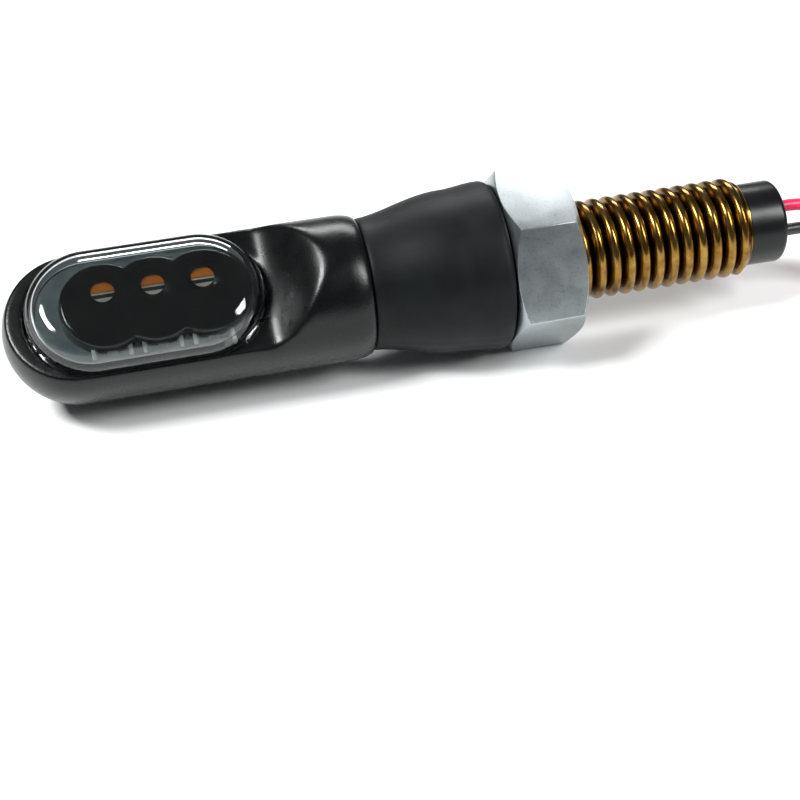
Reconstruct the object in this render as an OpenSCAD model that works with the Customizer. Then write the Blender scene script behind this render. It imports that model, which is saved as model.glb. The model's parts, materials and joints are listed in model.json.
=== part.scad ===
// Motorcycle LED turn signal: lamp head, flexible rubber stem, hollow threaded stud,
// lock nut, end bushing and two leads with bullet terminals.
//
// Every piece is drawn in the lamp's own frame and then laid down by place():
//   X  along the stud, from the head's tip (negative) to the leads (positive)
//   -Y the way the lens looks, +Z across the lens
//   0  where the stem's end face meets the lock nut, on the stud's centre line

/* [Lamp head] */
// Length of the head, from its tip to the stem
head_len = 34.8; // [32:0.2:42]
// Outer radius of the head
head_r = 7.1; // [7:0.1:8.4]
// Height of the lens rim above the centre line
rim_h = 2.9; // [2.7:0.1:3.2]
// How far the back pad stands from the centre line
pad_h = 7.7; // [7.5:0.1:9.2]
// Largest radius of the neck, where the head meets the stem
neck_r = 7.15; // [6.9:0.05:8.4]

/* [Lens] */
// Length of the lens
lens_len = 22.6; // [20:0.2:23.2]
// Half of the lens's width
lens_r = 6.15; // [5.8:0.05:6.2]
// How far the lens stands above its rim
lens_rise = 3.05; // [2.85:0.05:4]
// Wall of the lens
lens_wall = 0.9; // [0.7:0.1:0.9]
// Rim between the head's tip and the lens
tip_rim = 2.4; // [1.6:0.1:3]

/* [Light unit] */
// Distance between neighbouring lamps
led_pitch = 4.7; // [4.3:0.1:4.9]
// Radius of each lobe of the bezel
lobe_r = 4.25; // [3.8:0.05:4.35]
// Radius of the window over each lamp
window_r = 1.1; // [0.8:0.1:1.3]
// Thickness of the circuit board
board_t = 1; // [0.6:0.1:1.6]

/* [Rubber stem] */
// Length of the stem between the head and the lock nut
stem_len = 13.5; // [11:0.5:20]
// Radius of the stem where it meets the head
stem_small_r = 6.5; // [6:0.1:6.8]
// Radius of the stem's end at the lock nut
stem_big_r = 8.35; // [7.6:0.05:9.6]
// Radius of the hollow core that the leads run through
core_r = 2.4; // [2.2:0.1:2.8]

/* [Stud and nut] */
// Thread diameter of the stud
thread_d = 10; // [9:0.5:12]
// Thread pitch of the stud
pitch = 1.5; // [1.25:0.25:1.75]
// Length of the stud beyond the stem's end face
stud_len = 25.4; // [21:0.2:32]
// Bore of the hollow stud
stud_bore_d = 5.2; // [4.8:0.1:6]
// Lock nut, size across its flats
nut_af = 16; // [15:0.5:19]
// Lock nut, thickness
nut_t = 7; // [5:0.5:9]

/* [Leads] */
// Diameter of each lead over its insulation
wire_d = 1.25; // [1:0.05:1.4]
// Distance between the two leads in the bushing
wire_gap = 2.7; // [2.2:0.1:2.8]
// Head length of the end bushing
bushing_len = 4; // [3:0.5:6]
// Diameter of the bullet terminals
bullet_d = 3.9; // [3.5:0.1:4]

/* [Hidden] */
$fn = 72;

// Clearances
slip = 0.05; // pieces that slide into each other
bond = 0.02; // pieces that are moulded or cast together
turn = 0.04; // nut on the crests of the thread, on the radius

// Stations along X
neck_x = -stem_len;              // where the head ends and the stem begins
tip_x = neck_x - head_len;       // tip of the head
head_x0 = tip_x + head_r;        // centres of the head's two round ends
head_x1 = neck_x - 11.5;
lens_x0 = tip_x + tip_rim + lens_r; // centres of the lens's two round ends
lens_x1 = lens_x0 + lens_len - 2 * lens_r;
light_x = (lens_x0 + lens_x1) / 2 + 0.95; // middle lamp
bushing_x = stud_len;            // seat of the bushing on the stud's end
exit_x = bushing_x + bushing_len; // where the leads come out

// Head
rim_round = 0.3;                 // rounding of the rim's outer edge
rim_edge = sqrt(pow(head_r, 2) - pow(rim_h - rim_round, 2)); // where the round side ends at the rim
pocket_r = lens_r + 0.1;         // pocket that the lens stands in
pocket_h = rim_h - 1.1;          // floor of that pocket
cavity_r = 4.3;                  // room behind the circuit board
cavity_h = -4.4;
pad_r = 3.9;                     // half-width of the back pad's flat
pad_foot_r = 5.9;                // where the pad's slope meets the round back
spigot_r = 4.8;                  // rubber spigot inside the neck
spigot_len = 4.3;
neck_round = 2.4;                // rounding of the neck's end at the stem
scoop_x = head_x1 + 0.9;         // where the neck starts to rise out of the rim
scoop_len = 7.3;
resin_r = 2.3;                   // chamber of cast resin between the neck and the head
resin_x = lens_x1 + pocket_r + 0.3; // it begins clear of the lens's pocket

// Light unit, from the pocket's floor up
gasket_t = 0.3;
board_h = pocket_h;
led_h = board_h + board_t;
led_t = 1.2;
led_z = 1.3;                     // the lamps sit above the lens's middle
lobe_z = -0.2;
lobe_top = rim_h + lens_rise - lens_wall - 0.25;
lobe_wall = 0.8;
bezel_gap = 0.1;                 // between the bezel and the lens

// Stem and stud
thread_r = thread_d / 2;
root_r = thread_r - 0.6134 * pitch; // basic depth of a metric thread
flange_r = 6.3;                  // six-sided flange moulded into the stem
flange_t = 2;
flange_x = -3.2;
ferrule_r = 3.6;
ferrule_wall = 1;
nut_x = 0.1;                     // the nut's face stands just off the stem

// How the lamp lies: on the head's back and the nut, with the lens looking up and forwards
roll = 60;
nut_turn = 8.5;                  // how far the nut was turned from lying flat
pad_low = max(pad_h * sin(roll) + pad_r * cos(roll), stem_big_r);
nut_low = nut_af / 2 / cos(30) * cos(30 - nut_turn);
axis_h = max(pad_low, nut_low);
middle_x = (tip_x + exit_x) / 2;
sag_y = [sin(roll), cos(roll)];  // how a step along Z turns when the lamp is laid down

// Leads: each one's route in the laid-down frame, from the bushing to its coil. The red coil
// lies on the surface and the black one on top of it; both leads join and leave on one side.
red_y = wire_gap / 2 * sag_y[0];
red_z = axis_h + wire_gap / 2 * sag_y[1];
black_z = axis_h - wire_gap / 2 * sag_y[1];
out_x = exit_x - middle_x;
coil_r = 7;                      // middle of the turns
coil_high = 3 * wire_d;          // three turns of each lead
coil_lift = 0.5;                 // the ties pass under the coils
coil_x = out_x + 24;
black_lift = coil_lift + coil_high + slip;
red_low = coil_lift + wire_d / 2;
black_low = black_lift + wire_d / 2;
red_high = coil_lift + coil_high - wire_d / 2;
black_high = black_lift + coil_high - wire_d / 2;
sleeve_x = coil_x + 23;
sleeve_len = 11;
sleeve_d = 4.2;
sleeve_z = sleeve_d / 2;         // the terminals lie on the surface, side by side
red_end_y = -8.5;
black_end_y = 3;
bullet_len = 9;
red_route = [
    [out_x, red_y, red_z], [out_x + 3, red_y, red_z], [out_x + 6, 0.7, red_z - 0.6],
    [out_x + 9, -0.9, 6.9], [out_x + 12, -3.2, 4.4], [out_x + 15, -5.3, red_low + 1.3],
    [out_x + 18, -6.6, red_low + 0.2], [out_x + 21, -coil_r, red_low], [coil_x, -coil_r, red_low]
];
black_route = [
    [out_x, -red_y, black_z], [out_x + 3, -red_y, black_z], [out_x + 6, -1.6, black_z - 0.15],
    [out_x + 9, -2.9, 7.3], [out_x + 12, -4.6, black_low + 1.7], [out_x + 15, -6.1, black_low + 1],
    [out_x + 18, -6.9, black_low + 0.5], [out_x + 21, -7.05, black_low + 0.1], [coil_x, -coil_r, black_low]
];
red_tail = [
    [coil_x, -coil_r, red_high], [coil_x + 3, -7.05, red_high], [coil_x + 6, -7.2, red_high - 0.3],
    [coil_x + 9, -7.5, 2.8], [coil_x + 12, -7.9, 2.35], [coil_x + 15, -8.25, 2.15],
    [coil_x + 19, red_end_y, sleeve_z], [sleeve_x, red_end_y, sleeve_z]
];
black_tail = [
    [coil_x, -coil_r, black_high], [coil_x + 3, -7.05, black_high], [coil_x + 6, -6.9, black_high - 0.6],
    [coil_x + 9, -6, 5.5], [coil_x + 12, -3.9, 4], [coil_x + 15, -0.9, 2.8],
    [coil_x + 17.5, 1.6, 2.25], [coil_x + 20.3, 2.9, sleeve_z], [sleeve_x, black_end_y, sleeve_z]
];

// Points of an arc about a centre
function arc(centre, r, from, to, n = 8) =
    [for (i = [0:n]) let (t = from + (to - from) * i / n) centre + r * [cos(t), sin(t)]];

// Laid down on the surface, with the origin under the middle of the lamp
module place() translate([-middle_x, 0, axis_h]) rotate([-roll, 0, 0]) children();

// Turned about the stud's centre line: each point is [x, radius]
module turned(points)
    rotate([0, 90, 0]) rotate_extrude() polygon([for (p = points) [p[1], p[0]]]);

// A round bar or hole along the stud's centre line
module bar(from, to, r) translate([from, 0, 0]) rotate([0, 90, 0]) cylinder(r = r, h = to - from);

// Seen from in front of the lens: Z comes out of the lens
module facing() rotate([90, 0, 0]) children();

// A long body with two round ends, from an outline of [radius, height] points
module oblong(x0, x1, outline) {
    for (end = [[x0, 90], [x1, -90]])
        translate([end[0], 0, 0]) rotate([0, 0, end[1]]) rotate_extrude(angle = 180) polygon(outline);
    translate([x0, 0, 0]) rotate([90, 0, 90]) linear_extrude(x1 - x0) {
        polygon(outline);
        mirror([1, 0]) polygon(outline);
    }
}

// The same body with straight walls, between two heights
module oblong_block(x0, x1, r, h0, h1) oblong(x0, x1, [[0, h0], [r, h0], [r, h1], [0, h1]]);

// Three overlapping discs in a row, one over each lamp
module lobes(r, h0, h1)
    for (i = [-1:1])
        translate([light_x + i * led_pitch, lobe_z, h0]) cylinder(r = r, h = h1 - h0);

// Lamp head: moulded shell with the lens pocket in front and a round neck
module housing() color("#17191b") place() difference() {
    union() {
        facing() oblong(head_x0, head_x1, concat(
            [[0, -pad_h], [pad_r, -pad_h]],
            arc([0, 0], head_r, -acos(pad_foot_r / head_r), asin((rim_h - rim_round) / head_r), 12),
            arc([rim_edge - rim_round, rim_h - rim_round], rim_round, 0, 90, 4),
            [[0, rim_h]]));
        // the round neck, scooped down in an S to the rim beside the lens
        intersection() {
            turned(concat(
                [[head_x1, 0], [head_x1, neck_r], [neck_x - neck_round, neck_r]],
                [for (i = [1:6]) [neck_x - neck_round * (1 - sin(15 * i)),
                    stem_small_r + (neck_r - stem_small_r) * cos(15 * i)]],
                [[neck_x, 0]]));
            facing() rotate([90, 0, 0]) linear_extrude(3 * neck_r, center = true) polygon(concat(
                [[head_x1 - 1, -2 * neck_r], [head_x1 - 1, rim_h - 0.1]],
                [for (i = [0:12]) [scoop_x + scoop_len * i / 12,
                    rim_h - 0.1 + (neck_r + 0.2 - rim_h) * (1 - cos(15 * i)) / 2]],
                [[scoop_x + scoop_len, 2 * neck_r], [neck_x + 1, 2 * neck_r], [neck_x + 1, -2 * neck_r]]));
        }
    }
    facing() {
        oblong_block(lens_x0, lens_x1, pocket_r, pocket_h, head_r + 2);
        oblong_block(lens_x0, lens_x1, cavity_r, cavity_h, pocket_h + 1);
    }
    bar(neck_x - spigot_len - 1.2, neck_x + 1, spigot_r + slip);
    bar(resin_x, neck_x, resin_r);
    core_leads(wire_d / 2 + slip);
}

// Smoked lens: a hollow cap with rounded edges
lens_top = rim_h + lens_rise;
lens_edge = 2.5;
function cap(r, top, edge, foot) =
    concat([[r, foot]], arc([r - edge, top - edge], edge, 0, 90, 10), [[0, top]]);
module lens() color("#3a3f42", 0.55) place() facing() difference() {
    oblong(lens_x0, lens_x1, concat([[0, pocket_h + gasket_t]],
        cap(lens_r, lens_top, lens_edge, pocket_h + gasket_t)));
    oblong(lens_x0, lens_x1, concat([[0, pocket_h]],
        cap(lens_r - lens_wall, lens_top - lens_wall, lens_edge - lens_wall, pocket_h)));
}

// Seal under the foot of the lens
module lens_gasket() color("#0c0c0d") place() facing() difference() {
    oblong_block(lens_x0, lens_x1, lens_r, pocket_h, pocket_h + gasket_t);
    oblong_block(lens_x0, lens_x1, lens_r - lens_wall, pocket_h - 1, pocket_h + 1);
}

// Black bezel: three joined cups with a window over each lamp
module bezel() color("#1a1716") place() facing() difference() {
    // its top edge follows the lens's rounding
    intersection() {
        lobes(lobe_r, led_h + 0.1, lobe_top);
        oblong(lens_x0, lens_x1, concat([[0, pocket_h]], cap(lens_r - lens_wall - bezel_gap,
            lens_top - lens_wall - bezel_gap, lens_edge - lens_wall, pocket_h)));
    }
    lobes(lobe_r - lobe_wall, led_h, lobe_top - lobe_wall);
    for (i = [-1:1]) translate([light_x + i * led_pitch, led_z, 0]) {
        cylinder(r = window_r, h = lobe_top + 1);
        translate([0, 0, lobe_top - 0.5]) cylinder(r1 = window_r, r2 = window_r + 0.6, h = 0.52);
    }
}

// Reflector: a pale frame around the bezel, with a panel below each lobe and ribs between
rib_w = 0.35;
rib_gap = 1.3;                   // between the two ribs of a pair
module reflector() color("#70797a") place() facing() difference() {
    intersection() {
        oblong_block(lens_x0, lens_x1, lens_r - lens_wall - slip, led_h, led_h + 2);
        union() {
            translate([tip_x, -lens_r, led_h + 0.1]) cube([head_len, 2 * lens_r, 0.5]);
            for (i = [-1:1]) translate([light_x + i * led_pitch, 0.2 - lens_r, led_h + 0.1]) {
                translate([-1.5, 0, 0]) cube([3, 3.4, 0.7]);
                for (side = [-1, 1]) translate([side * (led_pitch - rib_gap) / 2 - rib_w / 2, 0, 0])
                    cube([rib_w, 3.4, 0.9]);
            }
        }
    }
    lobes(lobe_r + slip, led_h, lobe_top);
}

// Circuit board on the ledge of the pocket
module circuit_board() color("#1f5a3c") place() facing() difference() {
    oblong_block(lens_x0, lens_x1, lens_r - lens_wall - 0.2, board_h, led_h);
    for (x = [lens_x0 - 3.6, lens_x1 + 3.6]) translate([x, 0, board_h - 1]) cylinder(r = 0.5, h = 4);
}

// One surface-mounted lamp: a package with its domed chip on top
module lamp(i) color("#f08a1c") place() facing() translate([light_x + i * led_pitch, led_z, led_h]) {
    translate([-1.4, -1.1, 0]) cube([2.8, 2.2, led_t - 0.3]);
    translate([0, 0, led_t - 0.3]) cylinder(r1 = 0.95, r2 = 0.75, h = 0.3);
}
module led_inner() lamp(1);
module led_middle() lamp(0);
module led_outer() lamp(-1);

// Flat component under the board: a body between two end caps
module chip(x, z, long, wide, high) place() facing() translate([x, z, board_h - high]) {
    translate([-long / 2, -wide / 2, 0]) cube([long, wide, high]);
    for (side = [-1, 1]) translate([side * (long / 2 - 0.2) - 0.25, -wide / 2, -0.05])
        cube([0.5, wide, high + 0.05]);
}
module resistor_inner() color("#26231f") chip(light_x + led_pitch - 2, -2.4, 3.2, 1.6, 0.55);
module resistor_middle() color("#26231f") chip(light_x - 2, -2.4, 3.2, 1.6, 0.55);
module resistor_outer() color("#26231f") chip(light_x - led_pitch - 1, -2.2, 3.2, 1.6, 0.55);
module diode() color("#161616") chip(light_x - led_pitch, 1.6, 3.6, 1.7, 0.9);

// Cast resin that seals the leads between the neck and the head
module resin_plug() color("#222222") place() difference() {
    bar(resin_x + bond, neck_x - spigot_len - 1.25, resin_r - bond);
    core_leads(wire_d / 2 + bond);
}

// Ferrule that backs up the rubber spigot
module ferrule() color("#b8b2a4") place() difference() {
    union() {
        bar(neck_x - spigot_len + bond, neck_x + 1.2, ferrule_r);
        bar(neck_x - spigot_len - 0.9, neck_x - spigot_len - bond, spigot_r - 0.2);
        bar(neck_x - spigot_len - 0.5, neck_x - spigot_len + 0.5, ferrule_r);
    }
    bar(neck_x - spigot_len - 2, neck_x + 3, ferrule_r - ferrule_wall);
}

// Flexible rubber stem, moulded round the stud's flange
module stem() color("#2b2f30") place() difference() {
    union() {
        bar(neck_x - spigot_len, neck_x + 1, spigot_r);
        turned(concat(
            [[neck_x + slip, 0]],
            // a slow flare up to the shoulder
            [for (i = [0:10]) let (t = i / 10) [neck_x + slip + (stem_len - 4.5) * t,
                stem_small_r + (stem_big_r - 0.3 - stem_small_r) * (1 - cos(180 * pow(t, 0.9))) / 2]],
            [[-1.2, stem_big_r]],
            arc([-0.8, stem_big_r - 0.8], 0.8, 80, 0, 6),
            [[0, 0]]));
    }
    bar(neck_x - spigot_len - 1, neck_x + 1.2 + bond, ferrule_r + bond);
    bar(neck_x, flange_x, core_r);
    translate([flange_x - bond, 0, 0]) rotate([0, 90, 0])
        cylinder(r = flange_r + bond, h = flange_t + 2 * bond, $fn = 6);
    bar(flange_x, 1, root_r + bond);
}

// Hollow brass stud: six-sided flange inside the stem, thread outside
thread_x = 1; // first groove
module stud() color("#c9a24b") place() difference() {
    union() {
        translate([flange_x, 0, 0]) rotate([0, 90, 0]) cylinder(r = flange_r, h = flange_t, $fn = 6);
        bar(flange_x, nut_x, root_r);
        turned([[0, 0], [0, root_r], [0.6, thread_r], [stud_len - 0.8, thread_r],
            [stud_len, thread_r - 0.7], [stud_len, 0]]);
    }
    for (x = [thread_x + pitch / 2:pitch:stud_len - pitch / 2]) turned([
        [x - 0.4 * pitch, thread_r + 0.1], [x - 0.4 * pitch, thread_r],
        [x - 0.1 * pitch, root_r], [x + 0.1 * pitch, root_r],
        [x + 0.4 * pitch, thread_r], [x + 0.4 * pitch, thread_r + 0.1]]);
    bar(flange_x - 1, stud_len + 1, stud_bore_d / 2);
}

// Lock nut with both rims chamfered
nut_corner_r = nut_af / 2 / cos(30);
nut_chamfer = 0.9;
module lock_nut() color("#c4c9cb") place() difference() {
    intersection() {
        translate([nut_x, 0, 0]) rotate([nut_turn, 0, 0]) rotate([0, 90, 0]) rotate([0, 0, 90])
            cylinder(r = nut_corner_r, h = nut_t, $fn = 6);
        turned([[nut_x, 0], [nut_x, nut_af / 2 - 0.2], [nut_x + nut_chamfer, nut_corner_r + 0.1],
            [nut_x + nut_t - nut_chamfer, nut_corner_r + 0.1], [nut_x + nut_t, nut_af / 2 - 0.2],
            [nut_x + nut_t, 0]]);
    }
    bar(nut_x - 1, nut_x + nut_t + 1, thread_r + turn);
    turned([[nut_x - 1, 0], [nut_x - 1, thread_r + 1.5], [nut_x + 0.5, thread_r], [nut_x + 0.5, 0]]);
    turned([[nut_x + nut_t - 0.5, 0], [nut_x + nut_t - 0.5, thread_r],
        [nut_x + nut_t + 1, thread_r + 1.5], [nut_x + nut_t + 1, 0]]);
}

// End bushing: a plug in the stud's bore with a head that covers its end
bushing_r = min(root_r + 0.07, thread_r - 0.6);
module bushing() color("#1c1d1e") place() difference() {
    turned(concat(
        [[bushing_x - 4, 0], [bushing_x - 4, stud_bore_d / 2 - 0.25],
         [bushing_x - 3.6, stud_bore_d / 2 - bond], [bushing_x, stud_bore_d / 2 - bond],
         [bushing_x, bushing_r]],
        arc([exit_x - 0.5, bushing_r - 0.5], 0.5, 90, 0, 4),
        [[exit_x, 0]]));
    core_leads(wire_d / 2 + bond);
}

// Both leads where they run through the stem and the stud
core_x = lens_x1 + 1.2; // where they are soldered to the board
module core_lead(side) translate([0, 0, side * wire_gap / 2]) {
    bar(core_x, exit_x, wire_d / 2);
    // it turns up to its solder joint on the board
    translate([core_x, 0, 0]) facing() {
        sphere(d = wire_d);
        cylinder(d = wire_d, h = board_h);
    }
}
module core_leads(r) for (side = [-1, 1]) translate([0, 0, side * wire_gap / 2]) bar(core_x - 1, exit_x + 1, r);
module red_core_lead() color("#d8204e") place() core_lead(1);
module black_core_lead() color("#1b1d1e") place() core_lead(-1);

// A smooth route through hand-placed points, with rings of eight points swept along it
wire_sides = 8;
steps = 3;
function unit(v) = v / norm(v);
function spline(p, n) = concat([for (i = [0:len(p) - 2], s = [0:n - 1]) let (
        a = p[max(i - 1, 0)], b = p[i], c = p[i + 1], d = p[min(i + 2, len(p) - 1)], t = s / n)
    0.5 * (2 * b + (c - a) * t + (2 * a - 5 * b + 4 * c - d) * t * t
        + (3 * b - a - 3 * c + d) * t * t * t)], [p[len(p) - 1]]);
function ring(at, dir) = let (side = unit(cross(dir, [0, 0, 1])), up = cross(side, dir))
    [for (k = [0:wire_sides - 1]) let (a = 360 * (k + 0.5) / wire_sides)
        at + wire_d / 2 * (cos(a) * side + sin(a) * up)];
module tube(route) {
    p = spline(route, steps);
    last = len(p) - 1;
    ahead = [1, 0, 0]; // both ends point along the stud
    dirs = [for (i = [0:last]) i == 0 || i == last ? ahead : unit(p[i + 1] - p[i - 1])];
    points = [for (i = [0:last]) each ring(p[i], dirs[i])];
    sides = [for (i = [0:last - 1], k = [0:wire_sides - 1]) let (
            a = i * wire_sides + k, b = i * wire_sides + (k + 1) % wire_sides)
        [a, b, b + wire_sides, a + wire_sides]];
    first = [for (k = [wire_sides - 1:-1:0]) k];
    final = [for (k = [0:wire_sides - 1]) last * wire_sides + k];
    polyhedron(points, concat([first], sides, [final]));
}
module red_wire() color("#d8204e") { tube(red_route); tube(red_tail); }
module black_wire() color("#1b1d1e") { tube(black_route); tube(black_tail); }

// Each lead's spare length, wound into a coil
module coil(lift) translate([coil_x, 0, lift]) rotate_extrude()
    translate([coil_r - wire_d / 2, 0]) square([wire_d, coil_high]);
module red_coil() color("#d8204e") coil(coil_lift);
module black_coil() color("#1b1d1e") coil(black_lift);

// Two ties hold both coils together, one on either side
tie_w = 3;
tie_t = 0.4;
tie_room = [wire_d + 0.4, 2 * coil_high + slip + 0.1];
module tie(side) translate([coil_x + side * coil_r, 0, (coil_lift + black_lift + coil_high) / 2])
    rotate([90, 0, 0]) linear_extrude(tie_w, center = true) difference() {
        square([tie_room[0] + 2 * tie_t, tie_room[1] + 2 * tie_t], center = true);
        square(tie_room, center = true);
    }
module near_tie() color("#2a2c2d") tie(-1);
module far_tie() color("#2a2c2d") tie(1);

// Insulating sleeve over each crimped terminal
module terminal(y) translate([sleeve_x, y, sleeve_z]) rotate([0, 90, 0]) children();
module sleeve() difference() {
    cylinder(d = sleeve_d, h = sleeve_len);
    translate([0, 0, 3]) cylinder(d = 3.2, h = sleeve_len);
}
module red_sleeve() color("#c9c6bd") terminal(red_end_y) sleeve();
module black_sleeve() color("#c9c6bd") terminal(black_end_y) sleeve();

// Bullet terminal: a barrel inside the sleeve and a round nose outside it
module bullet() rotate_extrude() polygon(concat(
    [[0, 3.1], [1.5, 3.1], [1.5, sleeve_len + 0.1], [bullet_d / 2 - 0.4, sleeve_len + 0.1],
     [bullet_d / 2, sleeve_len + 0.5]],
    arc([bullet_d / 2 - 1, sleeve_len + bullet_len - 1], 1, 0, 90, 6),
    [[0, sleeve_len + bullet_len]]));
module red_bullet() color("#d9c27a") terminal(red_end_y) bullet();
module black_bullet() color("#d9c27a") terminal(black_end_y) bullet();

housing();
lens();
lens_gasket();
bezel();
reflector();
circuit_board();
led_inner();
led_middle();
led_outer();
resistor_inner();
resistor_middle();
resistor_outer();
diode();
resin_plug();
ferrule();
stem();
stud();
lock_nut();
bushing();
red_core_lead();
black_core_lead();
red_wire();
black_wire();
red_coil();
black_coil();
near_tie();
far_tie();
red_sleeve();
black_sleeve();
red_bullet();
black_bullet();
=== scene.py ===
import json
import math

import bmesh
import bpy
from mathutils import Matrix, Vector


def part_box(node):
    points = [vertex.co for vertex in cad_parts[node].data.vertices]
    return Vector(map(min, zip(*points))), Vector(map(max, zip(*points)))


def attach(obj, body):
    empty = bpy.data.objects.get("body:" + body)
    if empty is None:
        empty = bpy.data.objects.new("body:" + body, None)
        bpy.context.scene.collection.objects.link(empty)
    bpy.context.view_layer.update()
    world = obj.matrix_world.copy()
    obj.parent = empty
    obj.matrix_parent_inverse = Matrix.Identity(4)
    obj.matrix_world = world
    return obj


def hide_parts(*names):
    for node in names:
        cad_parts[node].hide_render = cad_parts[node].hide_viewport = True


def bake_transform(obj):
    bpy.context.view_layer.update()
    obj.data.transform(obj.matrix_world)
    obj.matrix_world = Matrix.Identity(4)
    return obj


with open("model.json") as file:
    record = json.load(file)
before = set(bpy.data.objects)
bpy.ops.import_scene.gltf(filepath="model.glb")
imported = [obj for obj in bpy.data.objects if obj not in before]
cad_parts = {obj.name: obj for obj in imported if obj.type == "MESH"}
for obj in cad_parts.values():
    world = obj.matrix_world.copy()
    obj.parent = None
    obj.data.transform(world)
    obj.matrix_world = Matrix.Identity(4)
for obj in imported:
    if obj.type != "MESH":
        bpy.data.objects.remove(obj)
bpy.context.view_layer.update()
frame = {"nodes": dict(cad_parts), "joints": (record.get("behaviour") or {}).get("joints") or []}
print("frame loaded")

mm = 0.001


# where the lamp lies
# Pieces are drawn in the lamp's own frame, in millimetres: X along the stud with 0 at the
# stem's end face, -Y the way the lens looks, Z across the lens. lampFrame lays them down.

def boxOf(node):
    low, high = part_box(node)
    return Vector(low), Vector(high)


def jointNamed(name):
    return next(j for j in frame["joints"] if j["name"] == name)


lensWay = Vector(jointNamed("stem_dip")["axis"]).normalized()
studWay = Vector((1, 0, 0))
acrossWay = studWay.cross(-lensWay)
bushingLow, bushingHigh = boxOf("bushing")
stemEnd = boxOf("stem")[1].x
lampOrigin = Vector((stemEnd, (bushingLow.y + bushingHigh.y) / 2, (bushingLow.z + bushingHigh.z) / 2))
lampTurn = Matrix((studWay, -lensWay, acrossWay)).transposed().to_4x4()
lampFrame = Matrix.Translation(lampOrigin) @ lampTurn @ Matrix.Scale(mm, 4)
facing = Matrix.Rotation(math.radians(90), 4, "X")  # turns Z out of the lens


def localX(worldX):
    return (worldX - stemEnd) / mm


# camera and light

view = {
    "azimuth": 12.0,      # degrees, from straight in front towards the head
    "elevation": 37.65,
    "roll": -2.3,
    "distance": 0.1614,   # from the point in the middle of the picture
    "aim": (-11.8, -7.5, -9.0),  # that point, in millimetres from lampOrigin
    "focal": 74.25,       # millimetres on a 36 mm sensor
}


def makeCamera():
    data = bpy.data.cameras.new("camera")
    data.sensor_width = 36
    data.lens = view["focal"]
    data.clip_start = 0.005
    cam = bpy.data.objects.new("camera", data)
    bpy.context.collection.objects.link(cam)
    az, el = math.radians(view["azimuth"]), math.radians(view["elevation"])
    back = Vector((-math.cos(el) * math.sin(az), -math.cos(el) * math.cos(az), math.sin(el)))
    turn = back.to_track_quat("Z", "Y").to_matrix() @ Matrix.Rotation(math.radians(view["roll"]), 3, "Z")
    place = lampOrigin + Vector(view["aim"]) * mm + back * view["distance"]
    cam.matrix_world = Matrix.Translation(place) @ turn.to_4x4()
    bpy.context.scene.camera = cam
    return cam


camera = makeCamera()


def areaLight(name, place, aim, size, power, colour=(1, 1, 1)):
    data = bpy.data.lights.new(name, "AREA")
    data.shape = "RECTANGLE"
    data.size, data.size_y = size
    data.energy = power
    data.color = colour
    lamp = bpy.data.objects.new(name, data)
    bpy.context.collection.objects.link(lamp)
    lamp.location = place
    lamp.rotation_mode = "QUATERNION"
    lamp.rotation_quaternion = (Vector(place) - Vector(aim)).to_track_quat("Z", "Y")
    return lamp


def lightStudio():
    aim = (0, 0, 0.008)
    areaLight("softboxLeft", (-0.20, -0.05, 0.30), aim, (0.12, 0.08), 1.6)
    areaLight("softboxRight", (0.20, -0.16, 0.24), aim, (0.08, 0.14), 0.8)
    areaLight("softboxBack", (0.06, 0.28, 0.22), aim, (0.22, 0.05), 0.7)
    world = bpy.data.worlds.new("studio")
    world.use_nodes = True
    background = world.node_tree.nodes["Background"]
    background.inputs["Color"].default_value = (0.92, 0.97, 1, 1)
    background.inputs["Strength"].default_value = 0.12
    bpy.context.scene.world = world
    bpy.context.scene.view_settings.view_transform = "Standard"


lightStudio()
print("camera and lights")


# materials

def linear(hexColour):
    parts = [int(hexColour[i:i + 2], 16) / 255 for i in (0, 2, 4)]
    return [c / 12.92 if c <= 0.04045 else ((c + 0.055) / 1.055) ** 2.4 for c in parts] + [1]


def perMetre(size):
    return 1 / (size * mm)  # noise scale that gives features of this many millimetres


def addNode(tree, kind, settings=None, **links):
    node = tree.nodes.new(kind)
    for key, value in (settings or {}).items():
        if key in node.inputs:
            node.inputs[key].default_value = value
        else:
            setattr(node, key, value)
    for key, source in links.items():
        tree.links.new(source, node.inputs[key.replace("_", " ")])
    return node


def newMaterial(name, **values):
    material = bpy.data.materials.new(name)
    material.use_nodes = True
    tree = material.node_tree
    shader = tree.nodes["Principled BSDF"]
    for key, value in values.items():
        label = {"colour": "Base Color", "ior": "IOR", "coat": "Coat Weight", "coatRoughness": "Coat Roughness",
                 "transmission": "Transmission Weight", "specular": "Specular IOR Level", "sheen": "Sheen Weight",
                 "anisotropic": "Anisotropic"}.get(key, key.capitalize())
        shader.inputs[label].default_value = value
    return material, tree, shader


def mottle(tree, shader, place, size, low, high, detail=3, socket="Base Color"):
    # slow change of tone between two colours
    noise = addNode(tree, "ShaderNodeTexNoise", {"Scale": perMetre(size), "Detail": detail}, Vector=place)
    ramp = addNode(tree, "ShaderNodeValToRGB", Fac=noise.outputs["Fac"])
    ramp.color_ramp.elements[0].position, ramp.color_ramp.elements[0].color = 0.35, low
    ramp.color_ramp.elements[1].position, ramp.color_ramp.elements[1].color = 0.65, high
    tree.links.new(ramp.outputs["Color"], shader.inputs[socket])
    return ramp


def spread(tree, shader, source, low, high, socket="Roughness"):
    # a 0..1 pattern becomes a range of roughness
    remap = addNode(tree, "ShaderNodeMapRange", {"To Min": low, "To Max": high}, Value=source)
    tree.links.new(remap.outputs["Result"], shader.inputs[socket])


def bump(tree, shader, height, strength, depth, before=None):
    node = addNode(tree, "ShaderNodeBump", {"Strength": strength, "Distance": depth * mm}, Height=height)
    if before:
        tree.links.new(before.outputs["Normal"], node.inputs["Normal"])
    tree.links.new(node.outputs["Normal"], shader.inputs["Normal"])
    return node


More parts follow.
